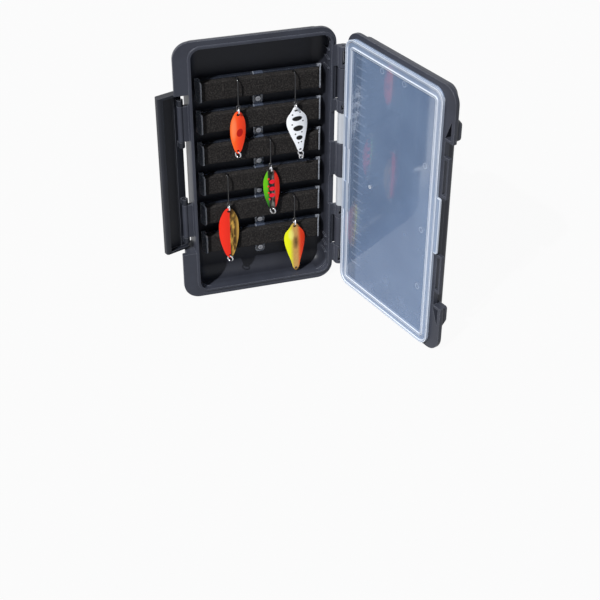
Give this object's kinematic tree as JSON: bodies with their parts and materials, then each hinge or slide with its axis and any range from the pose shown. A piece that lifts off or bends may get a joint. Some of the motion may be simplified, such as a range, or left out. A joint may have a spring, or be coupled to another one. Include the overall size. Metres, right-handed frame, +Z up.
{
  "type": "lure case",
  "caption": "Slim hinged lure case standing open on its end, with foam hook bars in clear holders, hanging spoon lures, a clear inner cover and a side latch.",
  "frame": {"origin": "middle of the base flange's lower edge, which the case stands on", "axes": "+Z up the long side of the standing case, +X from the latch edge to the hinge edge, +Y from the open tray to the base's back"},
  "size_m": [0.1638, 0.127, 0.19],
  "materials": {
    "case_plastic": "satin moulded",
    "clear_cover": "clear moulded plastic",
    "latch_plastic": "satin moulded",
    "steel": "bright",
    "foam": "fine closed-cell foam",
    "clear_holder": "clear moulded plastic",
    "hook_wire": "dark bronzed",
    "ring_steel": "bright",
    "spoon_paint_1": "gloss lacquer",
    "spoon_paint_2": "gloss lacquer",
    "spoon_paint_3": "gloss lacquer",
    "spoon_paint_4": "gloss lacquer",
    "spoon_paint_5": "gloss lacquer"
  },
  "bodies": {
    "base": {"base_shell": "case_plastic", "hinge_pin": "steel", "latch_pins": "steel", "foam_bar_1": "foam", "foam_bar_2": "foam", "foam_bar_3": "foam", "foam_bar_4": "foam", "foam_bar_5": "foam", "foam_bar_6": "foam", "foam_carrier_1": "clear_holder", "foam_carrier_2": "clear_holder", "foam_carrier_3": "clear_holder", "foam_carrier_4": "clear_holder", "foam_carrier_5": "clear_holder", "foam_carrier_6": "clear_holder", "carrier_screws": "steel", "lure_hooks": "hook_wire"},
    "lid": {"lid_shell": "case_plastic"},
    "cover": {"inner_cover": "clear_cover"},
    "latch": {"latch_bar": "latch_plastic"},
    "hanger": {"hang_tab": "latch_plastic"},
    "spoon_1": {"spoon_1_blade": "spoon_paint_1", "spoon_1_rings": "ring_steel"},
    "spoon_2": {"spoon_2_blade": "spoon_paint_2", "spoon_2_rings": "ring_steel"},
    "spoon_3": {"spoon_3_blade": "spoon_paint_3", "spoon_3_rings": "ring_steel"},
    "spoon_4": {"spoon_4_blade": "spoon_paint_4", "spoon_4_rings": "ring_steel"},
    "spoon_5": {"spoon_5_blade": "spoon_paint_5", "spoon_5_rings": "ring_steel"}
  },
  "joints": [
    {"name": "lid_hinge", "type": "hinge", "parent": "base", "child": "lid", "pos_m": [0.05725, -0.0032, 0], "axis": [0, 0, 1], "range_deg": [-108, 72]},
    {"name": "cover_hinge", "type": "hinge", "parent": "lid", "child": "cover", "pos_m": [0.05725, -0.0032, 0], "axis": [0, 0, -1], "range_deg": [0, 95]},
    {"name": "latch_hinge", "type": "hinge", "parent": "base", "child": "latch", "pos_m": [-0.04855, 0.0068, 0], "axis": [0, 0, -1], "range_deg": [-70, 8]},
    {"name": "hanger_fold", "type": "hinge", "parent": "base", "child": "hanger", "pos_m": [0, 0.00145, 0.0016], "axis": [-1, 0, 0], "range_deg": [0, 90]},
    {"name": "spoon_1_swing", "type": "hinge", "parent": "base", "child": "spoon_1", "pos_m": [-0.011, 0.0038, 0.13941], "axis": [0, 1, 0], "range_deg": [-13.5, 10.5]},
    {"name": "spoon_2_swing", "type": "hinge", "parent": "base", "child": "spoon_2", "pos_m": [0.0272, 0.0038, 0.1372], "axis": [0, 1, 0], "range_deg": [-6, 18]},
    {"name": "spoon_3_swing", "type": "hinge", "parent": "base", "child": "spoon_3", "pos_m": [0.0102, 0.0038, 0.09359], "axis": [0, 1, 0], "range_deg": [-10, 14]},
    {"name": "spoon_4_swing", "type": "hinge", "parent": "base", "child": "spoon_4", "pos_m": [-0.0194, 0.0038, 0.06792], "axis": [0, 1, 0], "range_deg": [-12, 12]},
    {"name": "spoon_5_swing", "type": "hinge", "parent": "base", "child": "spoon_5", "pos_m": [0.0268, 0.0038, 0.04856], "axis": [0, 1, 0], "range_deg": [-10.3, 13.7]}
  ]
}
